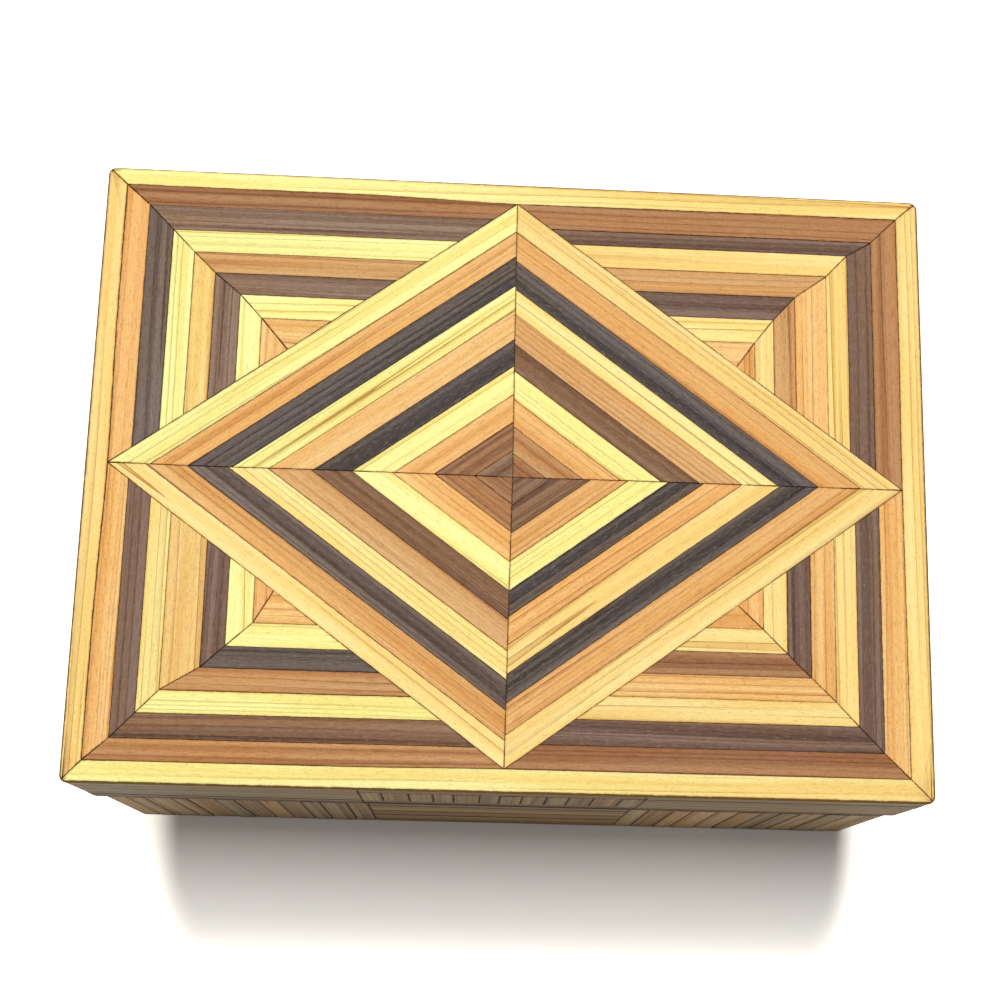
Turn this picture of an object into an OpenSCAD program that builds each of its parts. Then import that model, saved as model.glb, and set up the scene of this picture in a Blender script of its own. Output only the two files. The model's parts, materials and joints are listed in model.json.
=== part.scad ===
// Trinket box covered in mitred strips of wood, with a lid on two brass hinges.
// Millimetres, Z up, the front looks toward -Y.
// The origin is the middle of the lid's outline, on the surface the box stands on.

/* [Box] */
// Width of the lid, left to right
lid_width = 160.5; // [150:0.5:175]
// Depth of the lid, front to back
lid_depth = 121; // [114:0.5:130]
// Height of the lower part, up to the seam
body_height = 38.4; // [32:0.2:48]
// Height of the lid, from the seam up
lid_height = 24.3; // [20:0.1:30]
// How far the lid reaches past the body at each end
lid_overhang = 2; // [1:0.1:2.6]
// Gap between the body and the closed lid
seam_gap = 0.3; // [0.2:0.05:0.6]
// Rounding of the four upright corners
corner_radius = 1.6; // [0.8:0.1:2.4]
// Bevel that takes the sharpness off the lid's top edge
edge_bevel = 0.4; // [0.2:0.1:0.8]

/* [Boards] */
// Thickness of the body walls and the lid rails
wall_thickness = 6; // [5.6:0.1:7]
// Thickness of the board under the box
bottom_thickness = 4; // [3:0.5:6]
// Thickness of the board that carries the diamond pattern
panel_thickness = 3; // [2:0.5:5]

/* [Strips] */
// Thickness of the wood strips
strip_thickness = 1; // [0.8:0.1:1.4]
// Open joint between neighbouring strips
strip_joint = 0.1; // [0.06:0.02:0.2]
// Width of the frame strips round the lid
border_width = 4.5; // [4:0.1:6]
// Height at which the side strips end above the table
strip_lift = 0.2; // [0.1:0.1:0.6]
// Upright strips in one outer third of the front or back
front_upright_count = 12; // [10:1:14]
// Upright strips in one outer third of an end
end_upright_count = 9; // [7:1:11]
// Level strips in the middle third of a body face
body_course_count = 8; // [6:1:10]
// Level strips in one outer third of a lid face
lid_course_count = 5; // [4:1:7]
// Short bars in the middle of the lid front or back
front_bar_count = 12; // [10:1:14]
// Short bars in the middle of a lid end
end_bar_count = 9; // [7:1:11]

/* [Hinges] */
// Distance from the middle of a hinge to the end of the lid
hinge_inset = 32; // [20:1:45]
// Length of a hinge along the seam
hinge_length = 18; // [15:0.5:22]
// Reach of a hinge leaf from the pin
leaf_width = 4.4; // [4.2:0.05:4.5]
// Thickness of a hinge leaf
leaf_thickness = 0.8; // [0.7:0.05:1]
// Radius of the hinge barrel
barrel_radius = 1.4; // [1.3:0.05:1.5]
// Radius of the hinge pin
pin_radius = 0.6; // [0.5:0.05:0.7]
// Running clearance between pin and knuckle, each side
pin_clearance = 0.04; // [0.03:0.01:0.08]
// Gap between neighbouring knuckles
knuckle_gap = 0.15; // [0.1:0.05:0.3]
// Length of the middle knuckle, which belongs to the lid
middle_knuckle = 6.4; // [5:0.2:8]
// Clearance between the barrel and the wood round it
barrel_clearance = 0.25; // [0.2:0.05:0.3]
// Distance of the hinge pin in from the back face
pin_inset = 2; // [1.9:0.05:2.1]
// Opening at which the two back bevels meet
stop_angle = 100; // [92:1:110]

/* [Screws] */
// Radius of the screw shank
screw_radius = 0.7; // [0.6:0.05:0.8]
// Radius of the screw head
screw_head_radius = 1.1; // [1:0.05:1.15]
// Length of a screw
screw_length = 7; // [5:0.5:9]
// Distance of a screw from the hinge pin
screw_setback = 3; // [2.9:0.05:3.1]
// Distance between the two screws of one leaf
screw_spacing = 11; // [9:0.5:12]

/* [Hidden] */
$fn = 48;
margin = 1;

wood_pale = [0.93, 0.75, 0.42];
wood_yellow = [0.88, 0.66, 0.30];
wood_orange = [0.80, 0.55, 0.27];
wood_tan = [0.68, 0.46, 0.25];
wood_brown = [0.45, 0.28, 0.17];
wood_dark = [0.29, 0.17, 0.12];
wood_slate = [0.17, 0.14, 0.15];
wood_side = [0.60, 0.44, 0.27];
wood_side_dark = [0.50, 0.34, 0.20];
wood_board = [0.78, 0.62, 0.42];
brass = [0.78, 0.62, 0.28];
steel = [0.62, 0.62, 0.60];

box_height = body_height + seam_gap + lid_height;
lid_base = body_height + seam_gap;
body_width = lid_width - 2 * lid_overhang;
back_y = lid_depth / 2;

top_layer_base = box_height - strip_thickness;
panel_base = top_layer_base - panel_thickness;
rail_height = panel_base - lid_base;
body_board_width = body_width - 2 * strip_thickness;
lid_board_width = lid_width - 2 * strip_thickness;
board_depth = lid_depth - 2 * strip_thickness;

half_joint = strip_joint / 2;
mitre_joint = half_joint * sqrt(2);
diamond_half_width = lid_width / 2 - border_width;
diamond_half_depth = lid_depth / 2 - border_width;
diamond_side = norm([diamond_half_width, diamond_half_depth]);
diamond_reach = diamond_half_width * diamond_half_depth / diamond_side;
diamond_rings = 10;
corner_rings = 7;
slope = diamond_half_width / diamond_half_depth;
field_depth = (border_width + slope * lid_depth / 2) / (1 + slope);
corner_pitch = (field_depth - border_width) / corner_rings;
end_joint_x = half_joint * diamond_side / diamond_half_depth;
end_joint_y = half_joint * diamond_side / diamond_half_width;

hinge_y = back_y - pin_inset;
hinge_x = lid_width / 2 - hinge_inset;
hinge_z = body_height + seam_gap / 2;
stop_slack = 0.6;
bevel_angle = (stop_angle + stop_slack) / 2;
knuckle_radius = pin_radius + pin_clearance;
pocket_radius = barrel_radius + barrel_clearance;
side_knuckle = (hinge_length - middle_knuckle) / 2 - knuckle_gap;
pin_head_radius = 1;
pin_head_length = 0.35;
pocket_length = hinge_length + 4 * pin_head_length;
leaf_fit = 0.05;
screw_fit = 0.03;
screw_head_height = 0.45;
screw_sink = 0.05;
slot_width = 0.3;
slot_depth = 0.2;

// Board with its footprint centred on x = 0 and y = middle
module board(width, depth, base, height, middle = 0) {
    translate([-width / 2, middle - depth / 2, base])
        cube([width, depth, height]);
}

// Turn that takes a corner piece made for +X +Y to the given corner
function corner_turn(side, end) = side > 0 ? (end > 0 ? 0 : -90) : (end > 0 ? 90 : 180);

// The four waste pieces outside the rounded upright corners
module corner_waste(width) {
    for (side = [-1, 1])
        for (end = [-1, 1])
            translate([side * (width / 2 - corner_radius), end * (lid_depth / 2 - corner_radius), 0])
                rotate([0, 0, corner_turn(side, end)])
                    difference() {
                        translate([0, 0, -margin])
                            cube([corner_radius + margin, corner_radius + margin, box_height + 2 * margin]);
                        translate([0, 0, -2 * margin])
                            cylinder(r = corner_radius, h = box_height + 4 * margin);
                    }
}

// Section of the waste above the lid's bevelled top edge, its edge at x = across
module edge_bevel_section(across) {
    polygon([
        [across - edge_bevel - margin, margin],
        [across + margin, margin],
        [across + margin, -edge_bevel - margin]
    ]);
}

// Waste along the lid's top edge, straight on the sides and turned at the corners
module edge_bevel_waste() {
    straight_x = lid_width / 2 - corner_radius;
    straight_y = lid_depth / 2 - corner_radius;
    translate([0, 0, box_height]) {
        for (turn = [0, 180])
            rotate([90, 0, turn])
                translate([0, 0, -straight_y])
                    linear_extrude(2 * straight_y)
                        edge_bevel_section(lid_width / 2);
        for (turn = [90, -90])
            rotate([90, 0, turn])
                translate([0, 0, -straight_x])
                    linear_extrude(2 * straight_x)
                        edge_bevel_section(lid_depth / 2);
        for (side = [-1, 1])
            for (end = [-1, 1])
                translate([side * straight_x, end * straight_y, 0])
                    rotate([0, 0, corner_turn(side, end)])
                        rotate_extrude(angle = 90)
                            edge_bevel_section(corner_radius);
    }
}

// Bevels of body and lid along the back of the seam, both ending on the hinge pin
module back_bevel_waste() {
    reach = pin_inset + margin;
    rise = reach * tan(bevel_angle);
    translate([-lid_width / 2 - margin, hinge_y, hinge_z])
        rotate([90, 0, 90])
            linear_extrude(lid_width + 2 * margin)
                polygon([[0, 0], [reach, -rise], [reach, rise]]);
}

// Repeats a hinge part at both hinges
module at_hinges() {
    for (side = [-1, 1])
        translate([side * hinge_x, hinge_y, hinge_z])
            children();
}

// Round pocket in the wood for the barrel
module barrel_pocket() {
    translate([-pocket_length / 2, 0, 0])
        rotate([0, 90, 0])
            cylinder(r = pocket_radius, h = pocket_length);
}

// Room for one leaf and its screws, up = 1 in the lid and -1 in the body
module leaf_pocket(up) {
    pocket_height = leaf_thickness + seam_gap / 2 + margin;
    level = up > 0 ? -margin : margin - pocket_height;
    translate([-hinge_length / 2 - leaf_fit, -leaf_width - leaf_fit, level])
        cube([hinge_length + 2 * leaf_fit, leaf_width + leaf_fit, pocket_height]);
    for (side = [-1, 1])
        translate([side * screw_spacing / 2, -screw_setback, up > 0 ? 0 : -screw_length - seam_gap])
            cylinder(r = screw_radius + screw_fit, h = screw_length + seam_gap);
}

// Places a face pattern: outer side on local y = 0, the wood behind it at +y
module on_face(width, turn) {
    reach = (turn == 0 || turn == 180) ? lid_depth / 2 : width / 2;
    rotate([0, 0, turn])
        translate([0, -reach, 0])
            children();
}

// Upright strips side by side between two x positions
module uprights(start, end, base, top, count) {
    pitch = (end - start) / count;
    for (i = [0:count - 1])
        translate([start + i * pitch + half_joint, 0, base])
            cube([pitch - strip_joint, strip_thickness, top - base]);
}

// Level strips one above the other between two heights
module courses(start, end, base, top, count) {
    pitch = (top - base) / count;
    for (i = [0:count - 1])
        translate([start + half_joint, 0, base + i * pitch + half_joint])
            cube([end - start - strip_joint, strip_thickness, pitch - strip_joint]);
}

// Upright strips in the two outer thirds of a body face
module body_uprights(length, count) {
    uprights(-length / 2, -length / 6, strip_lift, body_height, count);
    uprights(length / 6, length / 2, strip_lift, body_height, count);
}

// Level strips in the middle third of a body face
module body_courses(length) {
    courses(-length / 6, length / 6, strip_lift, body_height, body_course_count);
}

// Level strips of a lid face: five in each outer third, one above and one below the bars
module lid_courses(length) {
    pitch = (top_layer_base - lid_base) / lid_course_count;
    courses(-length / 2, -length / 6, lid_base, top_layer_base, lid_course_count);
    courses(length / 6, length / 2, lid_base, top_layer_base, lid_course_count);
    courses(-length / 6, length / 6, lid_base, lid_base + pitch, 1);
    courses(-length / 6, length / 6, top_layer_base - pitch, top_layer_base, 1);
}

// Short upright bars in the middle third of a lid face
module lid_bars(length, count) {
    pitch = (top_layer_base - lid_base) / lid_course_count;
    uprights(-length / 6, length / 6, lid_base + pitch, top_layer_base - pitch, count);
}

// Face strips cut to the rounded corners and the back bevel
module face(width, turn) {
    difference() {
        on_face(width, turn)
            children();
        corner_waste(width);
        if (turn != 0)
            back_bevel_waste();
        if (turn == 180)
            at_hinges()
                barrel_pocket();
    }
}

// One flat strip of the lid top from its corner points
module top_strip(points) {
    translate([0, 0, top_layer_base])
        linear_extrude(strip_thickness)
            polygon(points);
}

// Two strips that meet in a mitre and end against the diamond, in one corner of the lid
module corner_strips(ring, side, end) {
    near = border_width + (ring - 1) * corner_pitch + half_joint;
    far = border_width + ring * corner_pitch - half_joint;
    y_near = lid_depth / 2 - near;
    y_far = lid_depth / 2 - far;
    x_near = lid_width / 2 - near;
    x_far = lid_width / 2 - far;
    level_near = diamond_half_width * (1 - y_near / diamond_half_depth) + end_joint_x;
    level_far = diamond_half_width * (1 - y_far / diamond_half_depth) + end_joint_x;
    upright_near = diamond_half_depth * (1 - x_near / diamond_half_width) + end_joint_y;
    upright_far = diamond_half_depth * (1 - x_far / diamond_half_width) + end_joint_y;
    level_tip = min(level_far, x_far - mitre_joint - half_joint);
    upright_tip = min(upright_far, y_far - mitre_joint - half_joint);
    top_strip([
        [side * level_near, end * y_near],
        [side * (x_near - mitre_joint), end * y_near],
        [side * (x_far - mitre_joint), end * y_far],
        [side * level_tip, end * y_far]
    ]);
    top_strip([
        [side * x_near, end * upright_near],
        [side * x_near, end * (y_near - mitre_joint)],
        [side * x_far, end * (y_far - mitre_joint)],
        [side * x_far, end * upright_tip]
    ]);
}

// One ring of mitred strips round the four corners of the lid
module corner_ring(ring) {
    for (side = [-1, 1])
        for (end = [-1, 1])
            corner_strips(ring, side, end);
}

// One ring of the diamond, a strip in each quarter, counted from the outside
module diamond_ring(ring) {
    inset = half_joint / diamond_reach;
    outer = 1 - (ring - 1) / diamond_rings - inset;
    inner = max(1 - ring / diamond_rings + inset, 0);
    cut_x = half_joint / diamond_half_width;
    cut_y = half_joint / diamond_half_depth;
    for (side = [-1, 1])
        for (end = [-1, 1])
            top_strip(concat(
                [
                    [side * diamond_half_width * (outer - cut_y), end * half_joint],
                    [side * half_joint, end * diamond_half_depth * (outer - cut_x)]
                ],
                ring == diamond_rings ? [[side * half_joint, end * half_joint]] : [
                    [side * half_joint, end * diamond_half_depth * (inner - cut_x)],
                    [side * diamond_half_width * (inner - cut_y), end * half_joint]
                ]
            ));
}

// Leaf with its knuckles, up = 1 for the lid leaf and -1 for the body leaf
module hinge_leaf(up) {
    level = up > 0 ? seam_gap / 2 : -seam_gap / 2 - leaf_thickness;
    plate_width = leaf_width - pocket_radius;
    outer_start = hinge_length / 2 - side_knuckle;
    starts = up > 0 ? [-middle_knuckle / 2] : [-hinge_length / 2, outer_start];
    length = up > 0 ? middle_knuckle : side_knuckle;
    face = up > 0 ? seam_gap / 2 : -seam_gap / 2;
    difference() {
        union() {
            translate([-hinge_length / 2, -leaf_width, level])
                cube([hinge_length, plate_width, leaf_thickness]);
            for (start = starts) {
                translate([start, -leaf_width, level])
                    cube([length, leaf_width, leaf_thickness]);
                translate([start, 0, 0])
                    rotate([0, 90, 0])
                        cylinder(r = barrel_radius, h = length);
            }
        }
        translate([-hinge_length / 2 - margin, 0, 0])
            rotate([0, 90, 0])
                cylinder(r = knuckle_radius, h = hinge_length + 2 * margin);
        for (side = [-1, 1])
            translate([side * screw_spacing / 2, -screw_setback, face])
                rotate([up > 0 ? 0 : 180, 0, 0])
                    screw_seat();
    }
}

// Countersunk hole, its mouth on z = 0 and its shank toward +z
module screw_seat() {
    translate([0, 0, -margin])
        cylinder(r = screw_head_radius + screw_fit, h = margin + screw_sink);
    translate([0, 0, screw_sink])
        cylinder(r1 = screw_head_radius + screw_fit, r2 = screw_radius + screw_fit, h = screw_head_height);
    translate([0, 0, screw_sink])
        cylinder(r = screw_radius + screw_fit, h = leaf_thickness + margin);
}

// Slotted countersunk screw, its head on z = 0 and its point toward +z
module screw() {
    point_length = 2 * screw_radius;
    difference() {
        union() {
            cylinder(r1 = screw_head_radius, r2 = screw_radius, h = screw_head_height);
            cylinder(r = screw_radius, h = screw_length - point_length);
            translate([0, 0, screw_length - point_length])
                cylinder(r1 = screw_radius, r2 = screw_radius / 4, h = point_length);
        }
        translate([-margin - screw_head_radius, -slot_width / 2, -margin])
            cube([2 * (margin + screw_head_radius), slot_width, margin + slot_depth]);
    }
}

// The two screws of one leaf at both hinges
module leaf_screws(up) {
    at_hinges()
        for (side = [-1, 1])
            translate([side * screw_spacing / 2, -screw_setback, up * (seam_gap / 2 + screw_sink)])
                rotate([up > 0 ? 0 : 180, 0, 0])
                    screw();
}

// Back board with room for barrels, leaves and screws
module hinged_board(up) {
    difference() {
        children();
        back_bevel_waste();
        at_hinges()
            barrel_pocket();
        at_hinges()
            leaf_pocket(up);
    }
}

module bottom_board() {
    color(wood_board)
        board(body_board_width, board_depth, 0, bottom_thickness);
}

module front_wall() {
    color(wood_board)
        board(body_board_width, wall_thickness, bottom_thickness, body_height - bottom_thickness,
            (wall_thickness - board_depth) / 2);
}

module back_wall() {
    color(wood_board)
        hinged_board(-1)
            board(body_board_width, wall_thickness, bottom_thickness, body_height - bottom_thickness,
                (board_depth - wall_thickness) / 2);
}

module body_end_wall(side) {
    translate([side * (body_board_width - wall_thickness) / 2, 0, 0])
        board(wall_thickness, board_depth - 2 * wall_thickness, bottom_thickness,
            body_height - bottom_thickness);
}

module left_wall() {
    color(wood_board)
        body_end_wall(-1);
}

module right_wall() {
    color(wood_board)
        body_end_wall(1);
}

module body_front_uprights() {
    color(wood_side)
        face(body_width, 0)
            body_uprights(body_width, front_upright_count);
}

module body_front_courses() {
    color(wood_side)
        face(body_width, 0)
            body_courses(body_width);
}

module body_back_uprights() {
    color(wood_side)
        face(body_width, 180)
            body_uprights(body_width, front_upright_count);
}

module body_back_courses() {
    color(wood_side)
        face(body_width, 180)
            body_courses(body_width);
}

module body_left_uprights() {
    color(wood_side)
        face(body_width, -90)
            body_uprights(board_depth, end_upright_count);
}

module body_left_courses() {
    color(wood_side)
        face(body_width, -90)
            body_courses(board_depth);
}

module body_right_uprights() {
    color(wood_side)
        face(body_width, 90)
            body_uprights(board_depth, end_upright_count);
}

module body_right_courses() {
    color(wood_side)
        face(body_width, 90)
            body_courses(board_depth);
}

module lid_panel() {
    color(wood_board)
        board(lid_board_width, board_depth, panel_base, panel_thickness);
}

module lid_front_rail() {
    color(wood_board)
        board(lid_board_width, wall_thickness, lid_base, rail_height,
            (wall_thickness - board_depth) / 2);
}

module lid_back_rail() {
    color(wood_board)
        hinged_board(1)
            board(lid_board_width, wall_thickness, lid_base, rail_height,
                (board_depth - wall_thickness) / 2);
}

module lid_end_rail(side) {
    translate([side * (lid_board_width - wall_thickness) / 2, 0, 0])
        board(wall_thickness, board_depth - 2 * wall_thickness, lid_base, rail_height);
}

module lid_left_rail() {
    color(wood_board)
        lid_end_rail(-1);
}

module lid_right_rail() {
    color(wood_board)
        lid_end_rail(1);
}

module lid_front_courses() {
    color(wood_side)
        face(lid_width, 0)
            lid_courses(lid_width);
}

module lid_front_bars() {
    color(wood_side_dark)
        face(lid_width, 0)
            lid_bars(lid_width, front_bar_count);
}

module lid_back_courses() {
    color(wood_side)
        face(lid_width, 180)
            lid_courses(lid_width);
}

module lid_back_bars() {
    color(wood_side_dark)
        face(lid_width, 180)
            lid_bars(lid_width, front_bar_count);
}

module lid_left_courses() {
    color(wood_side)
        face(lid_width, -90)
            lid_courses(board_depth);
}

module lid_left_bars() {
    color(wood_side_dark)
        face(lid_width, -90)
            lid_bars(board_depth, end_bar_count);
}

module lid_right_courses() {
    color(wood_side)
        face(lid_width, 90)
            lid_courses(board_depth);
}

module lid_right_bars() {
    color(wood_side_dark)
        face(lid_width, 90)
            lid_bars(board_depth, end_bar_count);
}

module border_strips() {
    inner_y = lid_depth / 2 - border_width + half_joint;
    inner_x = lid_width / 2 - border_width + half_joint;
    outer_y = lid_depth / 2;
    outer_x = lid_width / 2;
    color(wood_pale)
        difference() {
            union() {
                for (end = [-1, 1])
                    top_strip([
                        [-outer_x + mitre_joint, end * outer_y],
                        [outer_x - mitre_joint, end * outer_y],
                        [inner_x - mitre_joint, end * inner_y],
                        [-inner_x + mitre_joint, end * inner_y]
                    ]);
                for (side = [-1, 1])
                    top_strip([
                        [side * outer_x, -outer_y + mitre_joint],
                        [side * outer_x, outer_y - mitre_joint],
                        [side * inner_x, inner_y - mitre_joint],
                        [side * inner_x, -inner_y + mitre_joint]
                    ]);
            }
            corner_waste(lid_width);
            edge_bevel_waste();
        }
}

module corner_ring_1() {
    color(wood_brown)
        corner_ring(1);
}

module corner_ring_2() {
    color(wood_dark)
        corner_ring(2);
}

module corner_ring_3() {
    color(wood_yellow)
        corner_ring(3);
}

module corner_ring_4() {
    color(wood_tan)
        corner_ring(4);
}

module corner_ring_5() {
    color(wood_dark)
        corner_ring(5);
}

module corner_ring_6() {
    color(wood_pale)
        corner_ring(6);
}

module corner_ring_7() {
    color(wood_orange)
        corner_ring(7);
}

module diamond_ring_1() {
    color(wood_yellow)
        diamond_ring(1);
}

module diamond_ring_2() {
    color(wood_orange)
        diamond_ring(2);
}

module diamond_ring_3() {
    color(wood_slate)
        diamond_ring(3);
}

module diamond_ring_4() {
    color(wood_yellow)
        diamond_ring(4);
}

module diamond_ring_5() {
    color(wood_orange)
        diamond_ring(5);
}

module diamond_ring_6() {
    color(wood_slate)
        diamond_ring(6);
}

module diamond_ring_7() {
    color(wood_pale)
        diamond_ring(7);
}

module diamond_ring_8() {
    color(wood_orange)
        diamond_ring(8);
}

module diamond_ring_9() {
    color(wood_brown)
        diamond_ring(9);
}

module diamond_ring_10() {
    color(wood_dark)
        diamond_ring(10);
}

// One leaf at the hinge on the given side
module placed_leaf(side, up) {
    translate([side * hinge_x, hinge_y, hinge_z])
        hinge_leaf(up);
}

module left_hinge_body_leaf() {
    color(brass)
        placed_leaf(-1, -1);
}

module right_hinge_body_leaf() {
    color(brass)
        placed_leaf(1, -1);
}

module left_hinge_lid_leaf() {
    color(brass)
        placed_leaf(-1, 1);
}

module right_hinge_lid_leaf() {
    color(brass)
        placed_leaf(1, 1);
}

module hinge_pins() {
    color(steel)
        at_hinges()
            rotate([0, 90, 0]) {
                translate([0, 0, -hinge_length / 2])
                    cylinder(r = pin_radius, h = hinge_length);
                for (end = [-1, 1])
                    translate([0, 0, end * (hinge_length + pin_head_length) / 2 - pin_head_length / 2])
                        cylinder(r = pin_head_radius, h = pin_head_length);
            }
}

module body_hinge_screws() {
    color(steel)
        leaf_screws(-1);
}

module lid_hinge_screws() {
    color(steel)
        leaf_screws(1);
}

bottom_board();
front_wall();
back_wall();
left_wall();
right_wall();
body_front_uprights();
body_front_courses();
body_back_uprights();
body_back_courses();
body_left_uprights();
body_left_courses();
body_right_uprights();
body_right_courses();
lid_panel();
lid_front_rail();
lid_back_rail();
lid_left_rail();
lid_right_rail();
lid_front_courses();
lid_front_bars();
lid_back_courses();
lid_back_bars();
lid_left_courses();
lid_left_bars();
lid_right_courses();
lid_right_bars();
border_strips();
corner_ring_1();
corner_ring_2();
corner_ring_3();
corner_ring_4();
corner_ring_5();
corner_ring_6();
corner_ring_7();
diamond_ring_1();
diamond_ring_2();
diamond_ring_3();
diamond_ring_4();
diamond_ring_5();
diamond_ring_6();
diamond_ring_7();
diamond_ring_8();
diamond_ring_9();
diamond_ring_10();
left_hinge_body_leaf();
right_hinge_body_leaf();
left_hinge_lid_leaf();
right_hinge_lid_leaf();
hinge_pins();
body_hinge_screws();
lid_hinge_screws();
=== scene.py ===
import json
import math
import random
from collections import namedtuple

import bmesh
import bpy
from mathutils import Matrix, Vector, noise


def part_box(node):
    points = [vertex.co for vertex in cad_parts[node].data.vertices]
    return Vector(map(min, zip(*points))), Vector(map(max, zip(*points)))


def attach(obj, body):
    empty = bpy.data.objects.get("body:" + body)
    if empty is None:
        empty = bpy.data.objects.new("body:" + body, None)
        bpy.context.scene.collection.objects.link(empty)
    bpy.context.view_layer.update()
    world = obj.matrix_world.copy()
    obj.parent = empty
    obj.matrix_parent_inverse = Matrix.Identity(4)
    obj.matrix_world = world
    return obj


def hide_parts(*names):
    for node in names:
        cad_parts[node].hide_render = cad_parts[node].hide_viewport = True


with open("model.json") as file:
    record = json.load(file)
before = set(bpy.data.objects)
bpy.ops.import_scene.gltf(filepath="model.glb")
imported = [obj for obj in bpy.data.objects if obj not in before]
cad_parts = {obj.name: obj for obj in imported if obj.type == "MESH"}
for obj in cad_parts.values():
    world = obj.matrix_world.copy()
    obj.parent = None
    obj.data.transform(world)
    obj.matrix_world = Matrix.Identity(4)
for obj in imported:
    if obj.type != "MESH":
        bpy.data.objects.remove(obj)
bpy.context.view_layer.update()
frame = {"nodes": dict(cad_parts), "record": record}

# Looks of the inlaid trinket box. Every strip and board of the frame is copied, made a little
# uneven, bevelled and given its own wood; the hinges keep their frame shapes.
# Lengths are in metres and angles in degrees.
MM = 0.001

# Camera, placed as the photograph was taken
CAMERA_PLACE = Vector((-7.8, -90.38, 344.99)) * MM
CAMERA_TURN = -13.38
CAMERA_LEAN = 12.08
CAMERA_ROLL = 14.83
CAMERA_LENS = 55.65
CAMERA_SHIFT = (-0.04, 0.14)
CAMERA_NEAR = 10 * MM
SENSOR_WIDTH = 36

# Light
ROOM_LIGHT = 0.15
WINDOW_PLACE = (0.0, 0.5, 2.3)
WINDOW_SIZE = (0.6, 1.0)
WINDOW_POWER = 50
PHOTO_WHITE = (1, 1, 1, 1)

# Floor: its glow, seen by the camera and in reflections, is painted light. In a rectangle round the
# box it only lightens the shadow a little; from the rectangle's edge it fades up to white, faster
# at the sides, and hides the rest of the shadow
FLOOR_SIZE = 6
FLOOR_COLOUR = (0.88, 0.86, 0.81, 1)
FLOOR_GLOW = (1, 0.95, 0.85, 1)
FLOOR_PAINTED_LIGHT = 0.08
FLOOR_FADE = (20 * MM, 45 * MM)
SHADE_MIDDLE = (3.5 * MM, 0, 0)
SHADE_HALF = (66 * MM, 60.5 * MM, 0)
SIDE_STRETCH = (3.1, 1, 1)

# Woods by letter, as they look on the lid, in screen red, green and blue
WOODS = {
    "B": (255, 251, 160),
    "Y": (254, 233, 147),
    "G": (254, 224, 141),
    "H": (254, 229, 149),
    "F": (252, 215, 136),
    "C": (251, 203, 128),
    "O": (246, 190, 114),
    "K": (237, 183, 110),
    "T": (223, 174, 111),
    "R": (204, 153, 97),
    "A": (193, 141, 90),
    "N": (181, 130, 84),
    "E": (166, 122, 82),
    "D": (150, 113, 81),
    "P": (135, 106, 88),
    "L": (154, 127, 105),
    "M": (126, 110, 99),
    "S": (104, 91, 83),
}
# Woods of the strips in each corner of the lid, from the frame strips inwards
LEVEL_WOODS = {
    ("left", "back"): "NLBTLBC",
    ("right", "back"): "NPGTPYC",
    ("left", "front"): "RDBRSBC",
    ("right", "front"): "NPGCNGO",
}
UPRIGHT_WOODS = {
    ("left", "back"): "OMBGLBC",
    ("right", "back"): "APGCTGO",
    ("left", "front"): "CPYFPBO",
    ("right", "front"): "CPGCPGO",
}
# Woods of the diamond in each quarter, from the rim to the middle
DIAMOND_WOODS = {
    ("left", "back"): "BOSBCSBOED",
    ("right", "back"): "GKSYTDBORN",
    ("left", "front"): "HKMYTDBCAN",
    ("right", "front"): "GKSGOSBKDD",
}
# Woods of the four frame strips: their tone changes from the left of the lid to the right
FRAME_WOODS = {"front": "BG", "back": "BG", "left": "GG", "right": "GG"}
# Woods of the sides and of the boards, darkened by hands and age
SIDE_WOODS = {
    "lid_courses": (150, 135, 103),
    "lid_bars": (146, 127, 92),
    "body_uprights": (163, 141, 102),
    "body_courses": (150, 125, 82),
}
BOARD_WOOD = (214, 180, 138)

# What dark bands and growth lines keep of a wood's colour, from dark woods to pale ones
BAND_TINTS = (
    (0.09, (0.30, 0.31, 0.36, 1)),
    (0.16, (0.58, 0.52, 0.50, 1)),
    (0.26, (0.68, 0.57, 0.50, 1)),
    (0.50, (0.82, 0.69, 0.55, 1)),
    (0.80, (0.97, 0.88, 0.74, 1)),
)
LINE_TINTS = (
    (0.09, (0.30, 0.30, 0.34, 1)),
    (0.16, (0.44, 0.38, 0.36, 1)),
    (0.26, (0.44, 0.32, 0.25, 1)),
    (0.50, (0.46, 0.28, 0.16, 1)),
    (0.80, (0.52, 0.33, 0.16, 1)),
)
# Glue and dirt in the joints of dark woods and of pale ones; the same colours paint shade round the
# lid's outline and under its overhang
GLUE_DIRT_AND_SHADE = (
    (0.26, (0.030, 0.022, 0.016, 1)),
    (0.50, (0.165, 0.088, 0.020, 1)),
)
# What the other marks keep of a wood's colour
PALE_TINT = (1.02, 1.06, 1.15, 1)
WARM_TINT = (1.0, 0.95, 0.86, 1)
FIBRE_TINT = (0.68, 0.60, 0.54, 1)
MOTTLE_TINT = (0.84, 0.76, 0.68, 1)
PORE_TINT = (0.62, 0.46, 0.32, 1)
# Soiling, which also paints shade round the lid's outline, at the strips' rims and under the lid's
# overhang
SOIL_AND_SHADE_TINT = (0.46, 0.24, 0.12, 1)
BARE_WOOD = (0.42, 0.31, 0.22, 1)

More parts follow.
